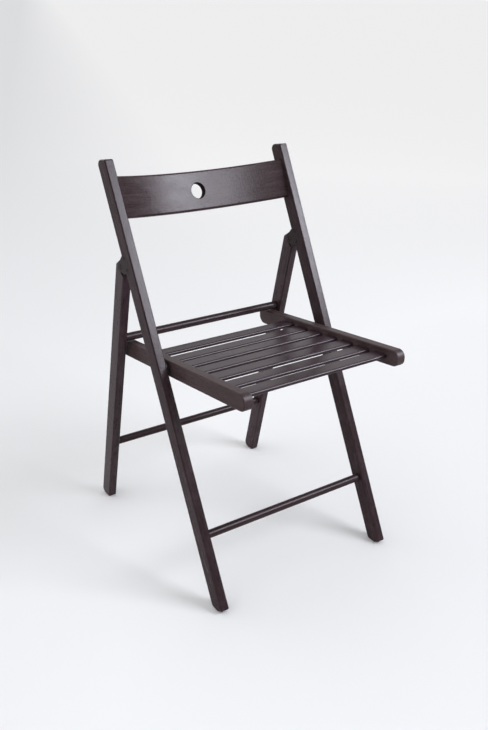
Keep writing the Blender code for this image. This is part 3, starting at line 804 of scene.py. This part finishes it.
def make_seat_rail(side, way, slats):
    middle = way * RAIL_MIDDLE_X
    rail = bar(side + "_seat_rail", rail_outline(), RAIL_THICKNESS, SEAT, middle, RAIL_EDGE_ROUND)
    to_seat = SEAT.inverted()
    depth = SLAT_HOUSING + GAP + CUT_OVERRUN
    x = way * (RAIL_INNER_X + SLAT_HOUSING + GAP - depth / 2)
    cutters = []
    for slat in slats:
        cutters.append(bar("slat_housing", slat_housing_outline(to_seat @ slat), depth, SEAT, x))
    low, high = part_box("seat_bush_" + side)
    bush_radius = (high.z - low.z) / 2
    bush_length = high.x - low.x
    bush_x = way * (RAIL_OUTER_X - bush_length / 2 + (CUT_OVERRUN - GAP) / 2)
    bush_hole = bush_length + GAP + CUT_OVERRUN
    cutters.append(rod("bush_hole", bush_radius + GAP, bush_hole, SEAT, (0, 0, bush_x)))
    cut(rail, *cutters)
    keep(rail, SEAT_BODY, "stained_wood", RAIL_WOOD, "seat_rail_" + side)


def make_seat():
    names = [f"slat_{k + 1}" for k in range(SLAT_COUNT)]
    places = [box_middle(name) for name in names]
    slats = grown("seat_slats", slat_tree(), places, {
        "Width": SLAT_WIDTH, "Thickness": SLAT_THICKNESS, "Length": 2 * (RAIL_INNER_X + SLAT_HOUSING),
        "Edge Round": SLAT_EDGE_ROUND, "Tilt": -SEAT_TILT, "Material": SLAT_WOOD})
    keep(slats, SEAT_BODY, "stained_wood", SLAT_WOOD, *names)
    for side, way in SIDES:
        make_seat_rail(side, way, places)


def make_spacer(side):
    """Nylon washer between a long leg and a seat rail, its outer edges eased."""
    node = "seat_spacer_" + side
    low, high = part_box(node)
    outer = (high.z - low.z) / 2
    half = (high.x - low.x) / 2
    eased = SPACER_EDGE_ROUND
    inner = SEAT_PIN_RADIUS + GAP
    profile = [(inner, -half), (outer - eased, -half)]
    for start, centre in ((-1, eased - half), (0, half - eased)):
        for k in range(EDGE_SEGMENTS + 1):
            turn = QUARTER * (start + k / EDGE_SEGMENTS)
            profile.append((outer - eased + eased * math.cos(turn), centre + eased * math.sin(turn)))
    profile.append((inner, half))
    place = side_frame((low + high) / 2, 0) @ Matrix.Translation((0, 0, (low.x + high.x) / 2))
    keep(turned(side + "_seat_washer", profile, place), FRONT_BODY, "black_nylon", NYLON, node)


def finish_hidden_nodes():
    """Pins and bushes inside the seat pivots stay as the frame has them."""
    for side, _ in SIDES:
        for node, material in (("seat_pin_" + side, ZINC_STEEL), ("seat_bush_" + side, NYLON)):
            mesh = frame["nodes"][node].data
            mesh.materials.clear()
            mesh.materials.append(material)


make_panel()
for side, way in SIDES:
    make_long_leg(side, way)
    make_rear_leg(side, way)
    make_plates(side, way)
    make_spacer(side)
make_heads()
make_rungs()
make_seat()
finish_hidden_nodes()


# Studio

FLOOR_REACH = 80
# Tones of the floor: painted shade by the foot of the lamps, where their light is strongest, the plain tone
# away from it, and painted light far back on the right, where their light falls off
FLOOR_PAINTED_SHADE_BY_LAMPS = "#c6c7c8"
FLOOR_AWAY = "#ecedee"
FLOOR_PAINTED_LIGHT_FAR_RIGHT = "#ffffff"
LAMPS_FOOT = (1.2, -1.25, 0.0)
BACKWARDS = (0.585, 0.81, 0.0)
RIGHTWARDS = (1.0, -0.4, 0.0)
ROOM_COLOUR = "#fafafb"
LAMP_TARGET = Vector((0, 0.05, 0.62))
# Lamps: colour, place, width, height, power, and whether they light more than reflections
LAMPS = {
    "soft_box": ("#f7f8ff", (1.333, -1.584, 1.79), 1.3, 0.8, 42, True),
    "gloss_card": ("#f0f3ff", (1.14, -1.5, 2.05), 1.5, 1.15, 195, False),
    "bright_card": ("#f0f3ff", (1.55, -1.38, 1.63), 0.65, 0.8, 37, False),
}


def floor_material():
    """A pale sheet with painted shade, greyer by the foot of the lamps, and painted light, palest far back
    right, so that it looks even.
    """
    material, tree = new_material("pale_floor_sheet")
    place = add_node(tree, "ShaderNodeTexCoord").outputs["Object"]
    # Painted shade: the floor is greyer near the lamps' foot, where their light falls strongest
    away = add_node(tree, "ShaderNodeVectorMath", {0: place, 1: LAMPS_FOOT}, operation="DISTANCE")
    shade_fade = add_node(tree, "ShaderNodeMapRange", {
        "Value": away.outputs["Value"], "From Min": 0.5, "From Max": 1.98})
    drift = noise_layers(tree, place, {"drift": (0.9, 0.9, 1)})["drift"]
    share = add_node(tree, "ShaderNodeMath", {
        0: drift, 1: 0.08, 2: shade_fade.outputs[0]}, operation="MULTIPLY_ADD")
    colour = add_node(tree, "ShaderNodeMix", {
        0: share.outputs[0], 6: linear(FLOOR_PAINTED_SHADE_BY_LAMPS), 7: linear(FLOOR_AWAY)}, data_type="RGBA")
    # Painted light: the floor pales far back on the right, where the lamps' light falls off
    behind = add_node(tree, "ShaderNodeVectorMath", {0: place, 1: BACKWARDS}, operation="DOT_PRODUCT")
    far = add_node(tree, "ShaderNodeMapRange", {
        "Value": behind.outputs["Value"], "From Min": 1.2, "From Max": 3.8})
    aside = add_node(tree, "ShaderNodeVectorMath", {0: place, 1: RIGHTWARDS}, operation="DOT_PRODUCT")
    painted_light_far_right = add_node(tree, "ShaderNodeMapRange", {
        "Value": aside.outputs["Value"], "From Min": -0.7, "From Max": 0.6, "To Max": far.outputs[0]})
    painted_light_mix = add_node(tree, "ShaderNodeMix", {
        0: painted_light_far_right.outputs[0], 6: colour.outputs[2], 7: linear(FLOOR_PAINTED_LIGHT_FAR_RIGHT)}, data_type="RGBA")
    shader = add_node(tree, "ShaderNodeBsdfPrincipled", {
        "Base Color": painted_light_mix.outputs[2], "Roughness": 0.9, "Specular IOR Level": 0.0})
    add_node(tree, "ShaderNodeOutputMaterial", {"Surface": shader.outputs["BSDF"]})
    return material


def make_floor():
    """Plain seamless floor that fills the picture."""
    mesh = bpy.data.meshes.new("floor")
    ends = ((-1, -1), (1, -1), (1, 1), (-1, 1))
    mesh.from_pydata([(x * FLOOR_REACH, y * FLOOR_REACH, 0) for x, y in ends], [], [(0, 1, 2, 3)])
    mesh.materials.append(floor_material())
    new_object("floor", mesh)


def make_room():
    """A pale room as the world, brightest low down along the back and left walls."""
    world = bpy.data.worlds.new("pale_room")
    world.use_nodes = True
    tree = world.node_tree
    tree.nodes.clear()
    way = add_node(tree, "ShaderNodeTexCoord").outputs["Object"]
    split = add_node(tree, "ShaderNodeSeparateXYZ", {"Vector": way})
    wall = add_node(tree, "ShaderNodeMapRange", {
        "Value": split.outputs["Z"], "From Min": 0.05, "From Max": 0.6, "To Min": 1.46, "To Max": 1.05})
    back = add_node(tree, "ShaderNodeMapRange", {
        "Value": split.outputs["Y"], "From Min": -0.7, "From Max": 0.7, "To Min": 0.4, "To Max": 1.1})
    left = add_node(tree, "ShaderNodeMapRange", {
        "Value": split.outputs["X"], "From Min": -0.7, "From Max": 0.7, "To Min": 1.3, "To Max": 0.85})
    sides = add_node(tree, "ShaderNodeMath", {
        0: back.outputs[0], 1: left.outputs[0]}, operation="MULTIPLY")
    level = add_node(tree, "ShaderNodeMath", {
        0: wall.outputs[0], 1: sides.outputs[0]}, operation="MULTIPLY")
    room = add_node(tree, "ShaderNodeBackground", {
        "Color": linear(ROOM_COLOUR), "Strength": level.outputs[0]})
    add_node(tree, "ShaderNodeOutputWorld", {"Surface": room.outputs["Background"]})
    bpy.context.scene.world = world


def make_lamps():
    """A soft box to the front right, and two cards there that show only in the lacquer's gloss."""
    for name, (colour, place, width, height, power, lights_all) in LAMPS.items():
        light = bpy.data.lights.new(name, "AREA")
        light.shape = "RECTANGLE"
        light.size = width
        light.size_y = height
        light.energy = power
        light.color = linear(colour)[:3]
        lamp = new_object(name, light)
        lamp.location = place
        lamp.rotation_euler = (LAMP_TARGET - lamp.location).to_track_quat("-Z", "Y").to_euler()
        lamp.visible_diffuse = lights_all


CAMERA_TURN = math.radians(-35.846)
CAMERA_RISE = math.radians(27.533)
CAMERA_ROLL = math.radians(2.391)
CAMERA_TARGET = Vector((-0.018219, 0.002694, 0.303090))
CAMERA_DISTANCE = 1.705693
CAMERA_SENSOR = 36
CAMERA_LENS = 39.862
CAMERA_SHIFT = (0.00974, 0.0486)


def make_camera():
    """The camera that was fitted to the photograph, turned, raised and rolled about its target."""
    back = Vector((math.sin(CAMERA_TURN) * math.cos(CAMERA_RISE),
                   -math.cos(CAMERA_TURN) * math.cos(CAMERA_RISE), math.sin(CAMERA_RISE)))
    level = Vector((0, 0, 1)).cross(back).normalized()
    upward = back.cross(level)
    right = math.cos(CAMERA_ROLL) * level + math.sin(CAMERA_ROLL) * upward
    up = math.cos(CAMERA_ROLL) * upward - math.sin(CAMERA_ROLL) * level
    at = CAMERA_TARGET + back * CAMERA_DISTANCE
    data = bpy.data.cameras.new("camera")
    data.sensor_width = CAMERA_SENSOR
    data.lens = CAMERA_LENS
    data.shift_x, data.shift_y = CAMERA_SHIFT
    camera = new_object("camera", data)
    camera.matrix_world = Matrix([(right[k], up[k], back[k], at[k]) for k in range(3)] + [(0, 0, 0, 1)])
    bpy.context.scene.camera = camera


make_floor()
make_room()
make_lamps()
make_camera()
bpy.context.scene.view_settings.view_transform = "Standard"

bpy.context.view_layer.update()
